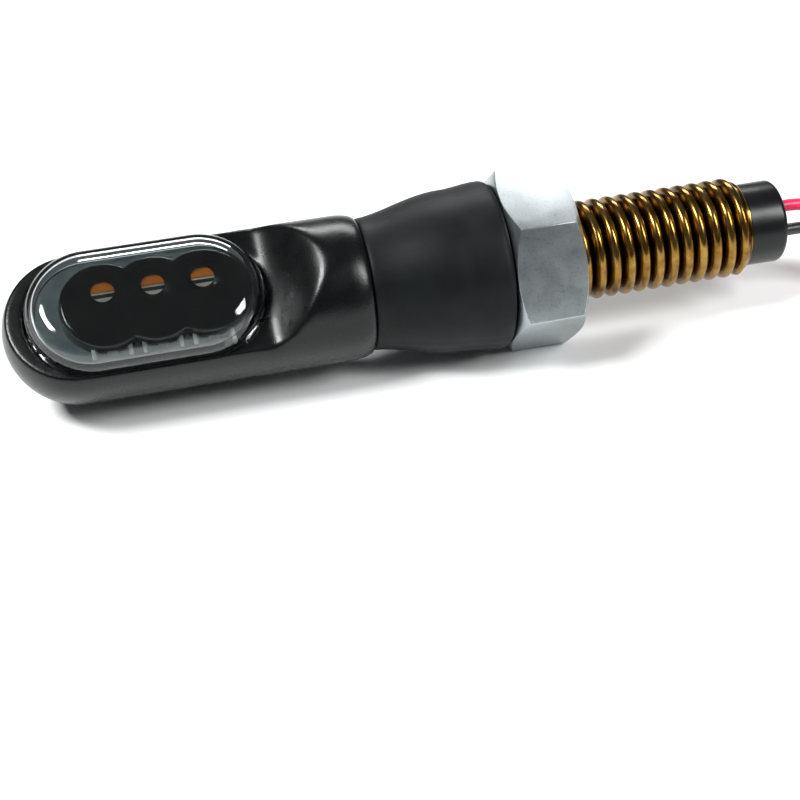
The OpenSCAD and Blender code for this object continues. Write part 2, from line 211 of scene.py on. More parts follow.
def objectPlace(tree):
    return addNode(tree, "ShaderNodeTexCoord").outputs["Object"]


def texturedNylon():
    # glass-filled nylon out of a spark-eroded mould: fine grain that breaks the gloss into sparkle
    material, tree, shader = newMaterial("texturedNylon", roughness=0.3, ior=1.46, specular=0.38)
    place = objectPlace(tree)
    mottle(tree, shader, place, 6, linear("030405"), linear("070909"))
    grain = addNode(tree, "ShaderNodeTexVoronoi", {"Scale": perMetre(0.16)}, Vector=place)  # coarser than real, to show
    fine = addNode(tree, "ShaderNodeTexNoise", {"Scale": perMetre(0.11), "Detail": 2}, Vector=place)
    both = addNode(tree, "ShaderNodeMath", {"operation": "ADD"})
    tree.links.new(grain.outputs["Distance"], both.inputs[0])
    tree.links.new(fine.outputs["Fac"], both.inputs[1])
    bump(tree, shader, both.outputs["Value"], 0.32, 0.02)
    wide = addNode(tree, "ShaderNodeTexNoise", {"Scale": perMetre(1.5), "Detail": 4}, Vector=place)
    spread(tree, shader, wide.outputs["Fac"], 0.22, 0.34)
    return material


def stemRubber():
    # compression-moulded EPDM: dull, with a faint bloom and hair-fine scuffs
    material, tree, shader = newMaterial("stemRubber", roughness=0.5, ior=1.46, specular=0.2)
    place = objectPlace(tree)
    mottle(tree, shader, place, 3.5, linear("070a0b"), linear("0e1213"), 5)
    long = addNode(tree, "ShaderNodeMapping", {"Scale": (0.15, 1, 1)}, Vector=place)
    scuff = addNode(tree, "ShaderNodeTexNoise", {"Scale": perMetre(0.5), "Detail": 6, "Roughness": 0.7},
                    Vector=long.outputs["Vector"])
    spread(tree, shader, scuff.outputs["Fac"], 0.42, 0.62)
    grain = addNode(tree, "ShaderNodeTexNoise", {"Scale": perMetre(0.12), "Detail": 3}, Vector=place)
    bump(tree, shader, grain.outputs["Fac"], 0.25, 0.012)
    return material


def smokedPolycarbonate():
    # injection-moulded, polished tool: clear with a grey tint and a faint ripple
    material, tree, shader = newMaterial("smokedPolycarbonate", colour=linear("c9cfd0"), roughness=0.02, ior=1.52,
                                         transmission=1.0)
    place = objectPlace(tree)
    ripple = addNode(tree, "ShaderNodeTexNoise", {"Scale": perMetre(3), "Detail": 1}, Vector=place)
    bump(tree, shader, ripple.outputs["Fac"], 0.12, 0.1)
    return material


def plainPlastic(name, low, high, roughness, grainSize=0.2, grainDepth=0.006, **more):
    material, tree, shader = newMaterial(name, roughness=roughness, **more)
    place = objectPlace(tree)
    mottle(tree, shader, place, 2.5, linear(low), linear(high))
    grain = addNode(tree, "ShaderNodeTexNoise", {"Scale": perMetre(grainSize), "Detail": 3}, Vector=place)
    bump(tree, shader, grain.outputs["Fac"], 0.3, grainDepth)
    return material


def rolledBrass():
    # rolled thread in free-cutting brass: painted shade darkens the roots to a deep brown against the brighter crests,
    # fine drag marks round the thread
    material, tree, shader = newMaterial("rolledBrass", roughness=0.2, metallic=1.0)
    place = objectPlace(tree)
    tone = addNode(tree, "ShaderNodeTexNoise", {"Scale": perMetre(1.2), "Detail": 6}, Vector=place)
    rootShadeGeometry = addNode(tree, "ShaderNodeNewGeometry")
    ramp = addNode(tree, "ShaderNodeValToRGB", Fac=tone.outputs["Fac"])
    ramp.color_ramp.elements[0].position, ramp.color_ramp.elements[0].color = 0.3, linear("6f4c1a")
    ramp.color_ramp.elements[1].position, ramp.color_ramp.elements[1].color = 0.7, linear("b8944c")
    # painted shade: where pointiness is low, in the thread roots, the colour fades to the dark brown 3a1f06 set below;
    # the crests keep the brass tone
    edge = addNode(tree, "ShaderNodeMapRange", {"From Min": 0.47, "From Max": 0.56}, Value=rootShadeGeometry.outputs["Pointiness"])
    mix = addNode(tree, "ShaderNodeMix", {"data_type": "RGBA"})
    tree.links.new(edge.outputs["Result"], mix.inputs[0])
    mix.inputs[6].default_value = linear("3a1f06")
    tree.links.new(ramp.outputs["Color"], mix.inputs[7])
    tree.links.new(mix.outputs[2], shader.inputs["Base Color"])
    along = addNode(tree, "ShaderNodeMapping", {"Scale": (1, 0.04, 0.04)}, Vector=place)
    drag = addNode(tree, "ShaderNodeTexNoise", {"Scale": perMetre(0.1), "Detail": 4}, Vector=along.outputs["Vector"])
    spread(tree, shader, drag.outputs["Fac"], 0.13, 0.3)
    bump(tree, shader, drag.outputs["Fac"], 0.15, 0.006)
    return material


def platedNut():
    # zinc-plated nut: satin flats with pits and tool drag
    material, tree, shader = newMaterial("platedNut", roughness=0.3, metallic=1.0)
    place = objectPlace(tree)
    speck = addNode(tree, "ShaderNodeTexNoise", {"Scale": perMetre(0.25), "Detail": 8, "Roughness": 0.7}, Vector=place)
    ramp = addNode(tree, "ShaderNodeValToRGB", Fac=speck.outputs["Fac"])
    ramp.color_ramp.elements[0].position, ramp.color_ramp.elements[0].color = 0.3, linear("868e90")
    ramp.color_ramp.elements[1].position, ramp.color_ramp.elements[1].color = 0.48, linear("a9b0b2")
    tree.links.new(ramp.outputs["Color"], shader.inputs["Base Color"])
    wide = addNode(tree, "ShaderNodeTexNoise", {"Scale": perMetre(1.8), "Detail": 5}, Vector=place)
    spread(tree, shader, wide.outputs["Fac"], 0.22, 0.42)
    first = bump(tree, shader, wide.outputs["Fac"], 0.2, 0.04)
    bump(tree, shader, speck.outputs["Fac"], 0.35, 0.01, first)
    return material


def insulation(name, low, high):
    # extruded PVC insulation: smooth, slightly waxy
    material, tree, shader = newMaterial(name, roughness=0.38, ior=1.53)
    place = objectPlace(tree)
    mottle(tree, shader, place, 4, linear(low), linear(high))
    grain = addNode(tree, "ShaderNodeTexNoise", {"Scale": perMetre(0.3), "Detail": 3}, Vector=place)
    bump(tree, shader, grain.outputs["Fac"], 0.2, 0.01)
    return material


nylon = texturedNylon()
rubber = stemRubber()
clear = smokedPolycarbonate()
brass = rolledBrass()
plated = platedNut()
maskPlastic = plainPlastic("smokedMask", "0f0b0a", "1c1412", 0.12, ior=1.5, coat=0.4)
trayPlastic = plainPlastic("greyReflector", "6a7374", "848d8d", 0.3, ior=1.49)
ribPlastic = plainPlastic("paleReflectorRibs", "c2c8ba", "d6dacb", 0.25, ior=1.49)
boardMask = plainPlastic("solderMask", "1f4d38", "2a6048", 0.35)
package = plainPlastic("lampPackage", "b9b5a6", "d2cdbd", 0.4)
phosphor = plainPlastic("amberResin", "d8700f", "f08a1a", 0.25, ior=1.5)
darkChip = plainPlastic("componentBody", "15120f", "201c18", 0.4)
solder = plainPlastic("tinnedPad", "a9adb0", "c4c8ca", 0.25, metallic=1.0)
sealRubber = plainPlastic("sealRubber", "0b0b0c", "121314", 0.6)
bushingPlastic = plainPlastic("softVinyl", "080a0a", "0e1011", 0.3, 0.35, 0.02, ior=1.46, specular=0.35)
resin = plainPlastic("castEpoxy", "111111", "191919", 0.15, ior=1.55)
turnedAlloy = plainPlastic("turnedAlloy", "9b978c", "b8b3a6", 0.3, 0.1, 0.004, metallic=1.0)
redInsulation = insulation("redInsulation", "e4154e", "f02a5c")
blackInsulation = insulation("blackInsulation", "15181a", "1f2325")
tieNylon = plainPlastic("tieNylon", "141516", "1d1f20", 0.45)
sleeveVinyl = plainPlastic("sleeveVinyl", "8f8b80", "a5a196", 0.3, ior=1.5)
terminalBrass = plainPlastic("tinnedBrass", "c9a95a", "dcc07a", 0.22, 0.15, 0.006, metallic=1.0)
print("materials")


# shared modelling helpers

def arcPoints(centre, radius, start, end, count):
    return [(centre[0] + radius * math.cos(math.radians(start + (end - start) * i / count)),
             centre[1] + radius * math.sin(math.radians(start + (end - start) * i / count)))
            for i in range(count + 1)]


def profileEdges(bm, points):
    verts = [bm.verts.new(p) for p in points]
    edges = [bm.edges.new(pair) for pair in zip(verts, verts[1:])]
    return verts + edges


def turned(bm, outline, steps=96):
    # outline of (x, radius), spun about the stud's centre line
    geom = profileEdges(bm, [(x, 0, r) for x, r in outline])
    bmesh.ops.spin(bm, geom=geom, cent=(0, 0, 0), axis=(1, 0, 0), angle=math.tau, steps=steps, use_merge=True)
    tidy(bm)


def tidy(bm, gap=0.0005):
    bmesh.ops.remove_doubles(bm, verts=bm.verts, dist=gap)
    bmesh.ops.dissolve_degenerate(bm, edges=bm.edges, dist=gap / 10)
    bmesh.ops.recalc_face_normals(bm, faces=bm.faces)


def oblong(bm, x0, x1, outline, steps=48, straight=10):
    # outline of (radius, height): two round ends joined by straight sides, heights out of the lens
    geom = profileEdges(bm, [(x0, r, h) for r, h in outline])
    for centre, shift in ((x0, x1 - x0), (x1, x0 - x1)):
        end = bmesh.ops.spin(bm, geom=geom, cent=(centre, 0, 0), axis=(0, 0, 1), angle=math.pi, steps=steps)
        geom = end["geom_last"]
        for i in range(straight):
            edges = [g for g in geom if isinstance(g, bmesh.types.BMEdge)]
            pulled = bmesh.ops.extrude_edge_only(bm, edges=edges)["geom"]
            moved = [g for g in pulled if isinstance(g, bmesh.types.BMVert)]
            bmesh.ops.translate(bm, verts=moved, vec=(shift / straight, 0, 0))
            geom = [g for g in pulled if not isinstance(g, bmesh.types.BMFace)]
    tidy(bm)


def newPiece(name, bm, material, body=None, stands=(), place=lampFrame, smooth=35):
    bmesh.ops.transform(bm, matrix=place, verts=bm.verts)
    mesh = bpy.data.meshes.new(name)
    bm.to_mesh(mesh)
    bm.free()
    piece = bpy.data.objects.new(name, mesh)
    bpy.context.collection.objects.link(piece)
    for m in material if isinstance(material, (list, tuple)) else [material]:
        mesh.materials.append(m)
    shade(piece, smooth)
    if body:
        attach(piece, body)
    if stands:
        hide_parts(*stands)
    return piece


def shade(piece, angle=35):
    bpy.context.view_layer.objects.active = piece
    for other in bpy.context.selected_objects:
        other.select_set(False)
    piece.select_set(True)
    bpy.ops.object.shade_smooth_by_angle(angle=math.radians(angle))


def applyModifier(piece, kind, **settings):
    modifier = piece.modifiers.new(kind.lower(), kind)
    for key, value in settings.items():
        setattr(modifier, key, value)
    bpy.context.view_layer.objects.active = piece
    bpy.ops.object.modifier_apply(modifier=modifier.name)


def block(bm, low, high, bevel=0.0, segments=2):
    size = [h - l for l, h in zip(low, high)]
    middle = [(h + l) / 2 for l, h in zip(low, high)]
    made = bmesh.ops.create_cube(bm, size=1, matrix=Matrix.Translation(middle) @ Matrix.Diagonal((*size, 1)))
    if bevel:
        edges = list({e for v in made["verts"] for e in v.link_edges})
        bmesh.ops.bevel(bm, geom=edges, offset=bevel, offset_type="OFFSET", segments=segments, profile=0.5,
                        affect="EDGES", material=-1)


# leads

lead = {
    "diameter": 1.25,
    "gap": 2.7,          # between the two leads in the bushing
    "coilX": 24,         # coils' centre beyond the bushing
    "coilRadius": 7,     # middle of the turns
    "turns": 3,
    "lift": 0.5,         # the ties pass under the coils
    "between": 0.05,     # red coil below, black coil on top of it
    "pointsPerTurn": 24,
    "terminal": 23,      # where the sleeves begin, beyond the coils' centre
    "redEnd": -8.5,
    "blackEnd": 3.0,
}
exitX = bushingHigh.x / mm
coilX = exitX + lead["coilX"]


def coilLow(side):
    stack = lead["turns"] * lead["diameter"] + lead["between"]
    return lead["lift"] + lead["diameter"] / 2 + (0 if side > 0 else stack)


def leadRoute(side):
    # free stretch from the bushing to the coil; side 1 is the red lead, -1 the black one
    z = lampOrigin.z / mm + side * lead["gap"] / 2 * acrossWay.z
    y = side * lead["gap"] / 2 * acrossWay.y
    low, r = coilLow(side), lead["coilRadius"]
    fall = {1: [(6, 0.7, z - 0.6), (9, -0.9, 6.9), (12, -3.2, 4.4), (15, -5.3, low + 1.3), (18, -6.6, low + 0.2),
                (21, -r, low)],
            -1: [(6, -1.6, z - 0.15), (9, -2.9, 7.3), (12, -4.6, low + 1.7), (15, -6.1, low + 1), (18, -6.9, low + 0.5),
                 (21, -r - 0.05, low + 0.1)]}[side]
    return [(exitX + dx, y, z) for dx, y, z in [(0, y, z), (3, y, z)] + fall] + [(coilX, -r, low)]


def tailRoute(side):
    # from the coil's last turn into the terminal's sleeve
    high = coilLow(side) + (lead["turns"] - 1) * lead["diameter"]
    r, end, floor = lead["coilRadius"], lead["terminal"], terminal["sleeveRadius"]
    fall = {1: [(3, -7.05, high), (6, -7.2, high - 0.3), (9, -7.5, 2.8), (12, -7.9, 2.35), (15, -8.25, 2.15),
                (19, lead["redEnd"], floor), (end, lead["redEnd"], floor)],
            -1: [(3, -7.05, high), (6, -6.9, high - 0.6), (9, -6, 5.5), (12, -3.9, 4), (15, -0.9, 2.8),
                 (17.5, 1.6, 2.25), (20.3, 2.9, floor), (end, lead["blackEnd"], floor)]}[side]
    return [(coilX, -r, high)] + [(coilX + dx, y, z) for dx, y, z in fall]


def splinePoint(points, i, t):
    a, b = points[max(i - 1, 0)], points[i]
    c, d = points[i + 1], points[min(i + 2, len(points) - 1)]
    return tuple(0.5 * (2 * q + (r - p) * t + (2 * p - 5 * q + 4 * r - s) * t * t
                        + (3 * q - p - 3 * r + s) * t ** 3) for p, q, r, s in zip(a, b, c, d))


def ease(value, start, end):
    t = min(max((value - start) / (end - start), 0), 1)
    return t * t * (3 - 2 * t)


def coilPoint(side, turn):
    # each turn rises onto the one below in its last fifth; the last one stays at the top
    whole, part = divmod(turn, 1)
    level = min(whole + ease(part, 0.8, 1), lead["turns"] - 1)
    angle = math.tau * turn - math.pi / 2
    r = lead["coilRadius"]
    return (coilX + r * math.cos(angle), r * math.sin(angle), coilLow(side) + level * lead["diameter"])


def leadPath(side):
    start, tail = leadRoute(side), tailRoute(side)
    path = [splinePoint(start, i, k / 4) for i in range(len(start) - 1) for k in range(4)]
    path += [coilPoint(side, k / lead["pointsPerTurn"]) for k in range(lead["turns"] * lead["pointsPerTurn"])]
    path += [splinePoint(tail, i, k / 4) for i in range(len(tail) - 1) for k in range(4)]
    path.append(tail[-1])
    return [(x * mm, y * mm, z * mm) for x, y, z in path]


terminal = {
    "sleeveRadius": 2.1, "sleeveLength": 11, "noseRadius": 1.95, "noseLength": 9, "barrelRadius": 1.5,
}


def makeLead(name, side, material):
    path = leadPath(side)
    curve = bpy.data.curves.new(name, "CURVE")
    curve.dimensions = "3D"
    curve.bevel_depth = lead["diameter"] / 2 * mm
    curve.bevel_resolution = 6
    curve.use_fill_caps = True
    spline = curve.splines.new("POLY")
    spline.points.add(len(path) - 1)
    for point, place in zip(spline.points, path):
        point.co = (*place, 1)
    spline.use_smooth = True
    curve.materials.append(material)
    piece = bpy.data.objects.new(name, curve)
    bpy.context.collection.objects.link(piece)
    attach(piece, "mount")
    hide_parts(name.replace("Lead", "_wire"), name.replace("Lead", "_coil"))
    return piece, path


def pathLength(path):
    return sum((Vector(b) - Vector(a)).length for a, b in zip(path, path[1:]))


def makeTerminal(colour, side):
    low, high = boxOf(colour + "_sleeve")
    axis = Matrix.Translation(((low.x), (low.y + high.y) / 2, (low.z + high.z) / 2)) @ Matrix.Scale(mm, 4)
    t = terminal
    r, n = t["sleeveRadius"], t["sleeveLength"]
    bm = bmesh.new()
    # heat-shrunk vinyl: tight on the lead, swelling over the crimp, open at the terminal
    turned(bm, [(0, 0.66), (0, 0.95)] + [(0.2, 1.25), (1.2, 1.4), (2.4, 1.85), (3.6, 2.05), (4.6, r)]
           + [(n - 2.2, r), (n - 1.9, r - 0.08), (n - 1.6, r), (n - 0.15, r), (n, r - 0.12), (n, 1.62),
              (3.2, 1.62), (2, 0.7), (0, 0.66)], 48)
    sleeve = newPiece(colour + "TerminalSleeve", bm, sleeveVinyl, "mount", [colour + "_sleeve"], axis)
    bm = bmesh.new()
    q, b = t["noseRadius"], t["barrelRadius"]
    end = n + t["noseLength"]
    turned(bm, [(3.4, 0), (3.4, b), (n + 0.1, b), (n + 0.1, q - 0.35), (n + 0.25, q - 0.08), (n + 0.5, q), (end - 3.2, q)]
           + arcPoints((end - 2.7, q), 0.5, 180, 360, 8)[1:-1]
           + [(end - 2.2, q)] + [(x, r) for x, r in arcPoints((end - 1, q - 1), 1, 90, 0, 8)] + [(end, 0)], 48)
    nose = newPiece(colour + "Bullet", bm, terminalBrass, "mount", [colour + "_bullet"], axis)
    return sleeve, nose


def makeTie(name, node):
    low, high = boxOf(node)
    bm = bmesh.new()
    width, tall = (high.x - low.x) / mm, (high.z - low.z) / mm
    long = (high.y - low.y) / mm
    rounding, wall = 0.7, 0.38
    corners = [(sx * (width / 2 - rounding), sz * (tall / 2 - rounding), a)
               for sx, sz, a in ((1, 1, 0), (-1, 1, 90), (-1, -1, 180), (1, -1, 270))]
    loops = []
    for radius in (rounding, rounding - wall):
        outline = [p for x, z, a in corners for p in arcPoints((x, z), radius, a, a + 90, 6)]
        for y in (-long / 2, long / 2):
            verts = [bm.verts.new((x, y, z)) for x, z in outline]
            loops.append([bm.edges.new(pair) for pair in zip(verts, verts[1:] + verts[:1])])
    for a, b in ((0, 1), (1, 3), (3, 2), (2, 0)):
        bmesh.ops.bridge_loops(bm, edges=loops[a] + loops[b])
    bmesh.ops.recalc_face_normals(bm, faces=bm.faces)
    # head of the tie with its tail pulled through
    block(bm, (-width / 2 + 0.4, -1.2, tall / 2 - wall), (width / 2 - 0.4, 1.2, tall / 2 - 0.02), 0.1)
    middle = (low + high) / 2
    place = Matrix.Translation(middle) @ Matrix.Scale(mm, 4)
    return newPiece(name, bm, tieNylon, "mount", [node], place)


makeTie("coilTieNear", "near_tie")
makeTie("coilTieFar", "far_tie")
for colour, side, material in (("red", 1, redInsulation), ("black", -1, blackInsulation)):
    piece, path = makeLead(colour + "Lead", side, material)
    sleeve, nose = makeTerminal(colour, side)
    print(f"{colour} lead, {pathLength(path):.4f} m")


# lamp head

shellShape = {"grid": 0.17, "edgeSmoothing": 8, "neckSmoothing": 45, "neckFrom": -24.6, "neckTo": -15.2}


def makeShell():
    # the moulded shell: every edge softened, most of all where the neck rises out of the rim
    d = shellShape
    bm = bmesh.new()
    bm.from_mesh(frame["nodes"]["housing"].data)
    bmesh.ops.remove_doubles(bm, verts=bm.verts, dist=0.000001)
    piece = newPiece("shell", bm, nylon, "head", ["housing"], Matrix.Identity(4))
    applyModifier(piece, "REMESH", mode="VOXEL", voxel_size=d["grid"] * mm, use_smooth_shade=True)
    applyModifier(piece, "SMOOTH", factor=0.5, iterations=d["edgeSmoothing"])
    group = piece.vertex_groups.new(name="neck")
    toLocal = lampFrame.inverted()
    for v in piece.data.vertices:
        x, y, z = toLocal @ v.co
        if -y > 1 or math.hypot(y, z) > 6:  # outside, and not in the cavities
            weight = ease(x, d["neckFrom"], d["neckFrom"] + 1.5) * (1 - ease(x, d["neckTo"] - 1, d["neckTo"]))
            if weight > 0 and math.hypot(y, z) > 3:
                group.add([v.index], weight, "REPLACE")
    applyModifier(piece, "SMOOTH", factor=0.5, iterations=d["neckSmoothing"], vertex_group="neck")
    piece.vertex_groups.clear()
    return piece


lensLow, lensHigh = boxOf("lens")
lensShape = {
    "halfWidth": 6.15, "foot": 2.1, "top": 5.95, "edge": 2.5, "wall": 0.9,
}
lensX0 = localX(lensLow.x) + lensShape["halfWidth"]
lensX1 = localX(lensHigh.x) - lensShape["halfWidth"]


def makeLens():
    d = lensShape
    r, e, w, top, foot = d["halfWidth"], d["edge"], d["wall"], d["top"], d["foot"]
    bm = bmesh.new()
    oblong(bm, lensX0, lensX1, [(0, top), (1.6, top)] + arcPoints((r - e, top - e), e, 90, 0, 12)
           + [(r, foot + 0.12), (r - 0.12, foot), (r - w + 0.1, foot), (r - w, foot + 0.1)]
           + arcPoints((r - e, top - e), e - w, 0, 90, 8) + [(1.6, top - w), (0, top - w)])
    return newPiece("lensCap", bm, clear, "head", ["lens"], lampFrame @ facing)


light = {
    "pitch": 4.7, "across": 1.3, "lobeAcross": -0.2, "lobeRadius": 4.25, "maskTop": 4.8, "maskFoot": 2.9,
    "maskWall": 0.6, "window": 1.1, "windowMouth": 1.68, "boardTop": 2.8, "lampTop": 4.0,
}
lightX = (lensX0 + lensX1) / 2 + 0.95


def makeMask():
    # three cups that run into each other, with a coned window over each lamp
    d = light
    r, top, foot, wall = d["lobeRadius"], d["maskTop"], d["maskFoot"], d["maskWall"]
    cups = []
    for i in (-1, 0, 1):
        x = lightX + i * d["pitch"]
        bm = bmesh.new()
        spunUp(bm, [(0, top)] + [(r - 0.45, top)] + arcPoints((r - 0.45, top - 0.45), 0.45, 90, 0, 5)[1:]
               + [(r, foot), (r - wall, foot), (r - wall, top - 0.75), (0, top - 0.75)], 72)
        cup = newPiece(f"cup{i + 1}", bm, maskPlastic,
                       place=lampFrame @ facing @ Matrix.Translation((x, d["lobeAcross"], 0)))
        bm = bmesh.new()
        spunUp(bm, [(0, foot - 1), (d["window"], foot - 1), (d["window"], top - 0.55), (d["windowMouth"], top - 0.1),
                    (d["windowMouth"] + 0.3, top + 1), (0, top + 1)], 48)
        cut(cup, newPiece(f"window{i + 1}", bm, maskPlastic,
                          place=lampFrame @ facing @ Matrix.Translation((x, d["across"], 0))), "DIFFERENCE")
        bm = bmesh.new()
        bm.from_mesh(cup.data)
        for side in (-1, 1):
            if -1 <= i + side <= 1:
                at = lampFrame @ Vector((x + side * d["pitch"] / 2, 0, 0))
                bmesh.ops.bisect_plane(bm, geom=bm.verts[:] + bm.edges[:] + bm.faces[:], plane_co=at,
                                       plane_no=studWay * side, clear_outer=True)
        bm.to_mesh(cup.data)
        bm.free()
        cups.append(cup)
    bm = bmesh.new()
    for cup in cups:
        bm.from_mesh(cup.data)
        bpy.data.objects.remove(cup)
    bmesh.ops.remove_doubles(bm, verts=bm.verts, dist=0.000002)
    return newPiece("lampMask", bm, maskPlastic, "head", ["bezel"], Matrix.Identity(4))


def spunUp(bm, outline, steps=48):
    # outline of (radius, height), spun about Z
    geom = profileEdges(bm, [(r, 0, h) for r, h in outline])
    bmesh.ops.spin(bm, geom=geom, cent=(0, 0, 0), axis=(0, 0, 1), angle=math.tau, steps=steps, use_merge=True)
    tidy(bm)


def cut(piece, tool, operation):
    applyModifier(piece, "BOOLEAN", object=tool, operation=operation, solver="EXACT")
    bpy.data.objects.remove(tool)


def makeLamp(name, i):
    # surface-mounted lamp: pale package, amber resin well, dark lead frame slot
    d = light
    bm = bmesh.new()
    low, high = d["boardTop"], d["lampTop"]
    block(bm, (-1.4, -1.1, low), (1.4, 1.1, high - 0.12), 0.08)
    base = len(bm.faces)
    block(bm, (-1.2, 0.05, high - 0.3), (1.2, 1.02, high - 0.02), 0.1, 3)
    amber = len(bm.faces)
    block(bm, (-1.2, -0.5, high - 0.3), (1.2, -0.12, high - 0.08), 0.03)
    slot = len(bm.faces)
    for x in (-1.3, 0.9):
        block(bm, (x, -1.15, low), (x + 0.4, -0.7, low + 0.35), 0.04)
    bm.faces.ensure_lookup_table()
    for face in bm.faces:
        face.material_index = 0 if face.index < base else 1 if face.index < amber else 2 if face.index < slot else 3
    place = lampFrame @ facing @ Matrix.Translation((lightX + i * d["pitch"], d["across"], 0))
    node = "led_" + name.removesuffix("Lamp")
    return newPiece(name, bm, [package, phosphor, darkChip, solder], "head", [node], place)


reflectorShape = {"height": 2.9, "rim": 3.5, "ribWidth": 0.4, "ribPair": 1.3, "ribTop": 3.75}


def makeReflector():
    # pale tray round the mask: dished floor, a framed panel below each lamp and ribs between
    d = reflectorShape
    r = lensShape["halfWidth"] - lensShape["wall"] - 0.06
    bm = bmesh.new()
    oblong(bm, lensX0, lensX1, [(0, d["height"] + 0.1), (3.2, d["height"] + 0.1), (r - 0.9, d["height"] + 0.25),
                                (r - 0.25, d["rim"] - 0.1), (r - 0.1, d["rim"]), (r, d["rim"] - 0.1), (r, d["height"] - 0.1),
                                (0, d["height"] - 0.1)], 48, 8)
    tray = len(bm.faces)
    for i in (-1, 0, 1):
        x, z = lightX + i * light["pitch"], -r + 0.1
        for low, high in (((x - 1.5, z, d["height"]), (x + 1.5, z + 0.25, 3.7)),
                          ((x - 1.5, z + 1.1, d["height"]), (x + 1.5, z + 1.3, 3.6)),
                          ((x - 1.5, z, d["height"]), (x - 1.3, z + 1.3, 3.65)),
                          ((x + 1.3, z, d["height"]), (x + 1.5, z + 1.3, 3.65)),
                          ((x - 0.45, z + 0.2, d["height"]), (x + 0.45, z + 0.7, 3.7))):
            block(bm, low, high, 0.06)
    panels = len(bm.faces)
    for i in (-1, 0, 1):
        for side in (-1, 1):
            x = lightX + i * light["pitch"] + side * (light["pitch"] - d["ribPair"]) / 2
            block(bm, (x - d["ribWidth"] / 2, -r + 0.2, d["height"]), (x + d["ribWidth"] / 2, -r + 3, d["ribTop"]), 0.08)
    bm.faces.ensure_lookup_table()
    for face in bm.faces:
        face.material_index = 0 if face.index < panels else 1
    return newPiece("reflectorTray", bm, [trayPlastic, ribPlastic], "head", ["reflector"],
                    lampFrame @ facing)


shell = makeShell()
makeLens()
makeMask()
for name, i in (("innerLamp", 1), ("middleLamp", 0), ("outerLamp", -1)):
    makeLamp(name, i)
makeReflector()
print("lamp head")


# rubber stem, with the hidden leads

stemShape = {
    "length": 13.5, "smallRadius": 6.5, "bigRadius": 8.35, "core": 2.4, "seam": -6.75,
    "sway": -4.3, "dip": -9.2,   # where the two joints sit
    "partingLine": 0.07,
}


def stemRadius(x):
    d = stemShape
    t = min(max((x + d["length"]) / (d["length"] - 4.5), 0), 1) ** 0.9
    flare = (1 - math.cos(math.pi * t)) / 2
    end = ease(x, -4.5, -1.2)
    return d["smallRadius"] + (d["bigRadius"] - 0.3 - d["smallRadius"]) * flare + 0.3 * end


def stemHalf(name, outline, stands):
    bm = bmesh.new()
    turned(bm, outline + outline[:1], 120)
    for v in bm.verts:
        # parting line of the mould, along the underside and the top
        radius = math.hypot(v.co.y, v.co.z)
        angle = math.degrees(math.atan2(v.co.y, v.co.z)) % 180
        if radius > 6 and min(angle, 180 - angle) < 2:
            scale = 1 + stemShape["partingLine"] / radius
            v.co.y *= scale
            v.co.z *= scale
    piece = newPiece(name, bm, rubber, None, stands, smooth=50)
    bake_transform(piece)
    return piece


def makeStem():
    d = stemShape
    steps = 22
    rear = [(d["seam"] + (-0.9 - d["seam"]) * i / steps, 0) for i in range(steps + 1)]
    rear = [(x, stemRadius(x)) for x, _ in rear]
    rear += arcPoints((-0.8, d["bigRadius"] - 0.8), 0.8, 84, 0, 7)
    rear += [(0, 4.2), (d["seam"], d["core"])]
    stemHalf("stemRear", rear, ["stem"])
    front = [(-17.8, 3.7), (-17.8, 4.6), (-17.6, 4.78), (-13.46, 4.78), (-13.46, 6.25), (-13.38, 6.42)]
    front += [(x, stemRadius(x)) for x in [-13.2 + (d["seam"] + 13.2) * i / steps for i in range(steps + 1)]]
    front += [(d["seam"], d["core"]), (-12.2, d["core"]), (-12.2, 3.7)]
    stemHalf("stemFront", front, [])


def makeCoreLead(colour, side):
    # from the board to the bushing, hidden in the resin, the stem and the stud
    z = side * lead["gap"] / 2
    r = lead["diameter"] / 2
    seam = stemShape["seam"]
    end = exitX * mm
    parts = (("Rear", [seam, -5.5, -4.3, -3.1, -1.8, localX(end)], ("mount", "neck"), 2 * stemShape["sway"] - seam, seam),
             ("Front", [-28.3, -12, -11, -10, -9.2, -8.4, -7.6, seam], ("neck", "head"), seam,
              2 * stemShape["dip"] - seam))
    for label, stations, bodies, blendFrom, blendTo in parts:
        bm = bmesh.new()
        turned(bm, [(stations[0], 0)] + [(x, r) for x in stations] + [(stations[-1], 0)], 20)
        bmesh.ops.translate(bm, verts=bm.verts, vec=(0, 0, z))
        material = redInsulation if colour == "red" else blackInsulation
        piece = newPiece(f"{colour}CoreLead{label}", bm, material, None,
                         [colour + "_core_lead"] if label == "Rear" else [])
        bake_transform(piece)


makeStem()
makeCoreLead("red", 1)
makeCoreLead("black", -1)
print("stem")


# stud, nut and bushing

studShape = {
    "pitch": 1.5, "radius": 5.0, "root": 4.08, "length": 25.4, "bore": 2.6, "steps": 48, "startChamfer": 0.8,
    "endChamfer": 0.8, "endRadius": 4.35,
}


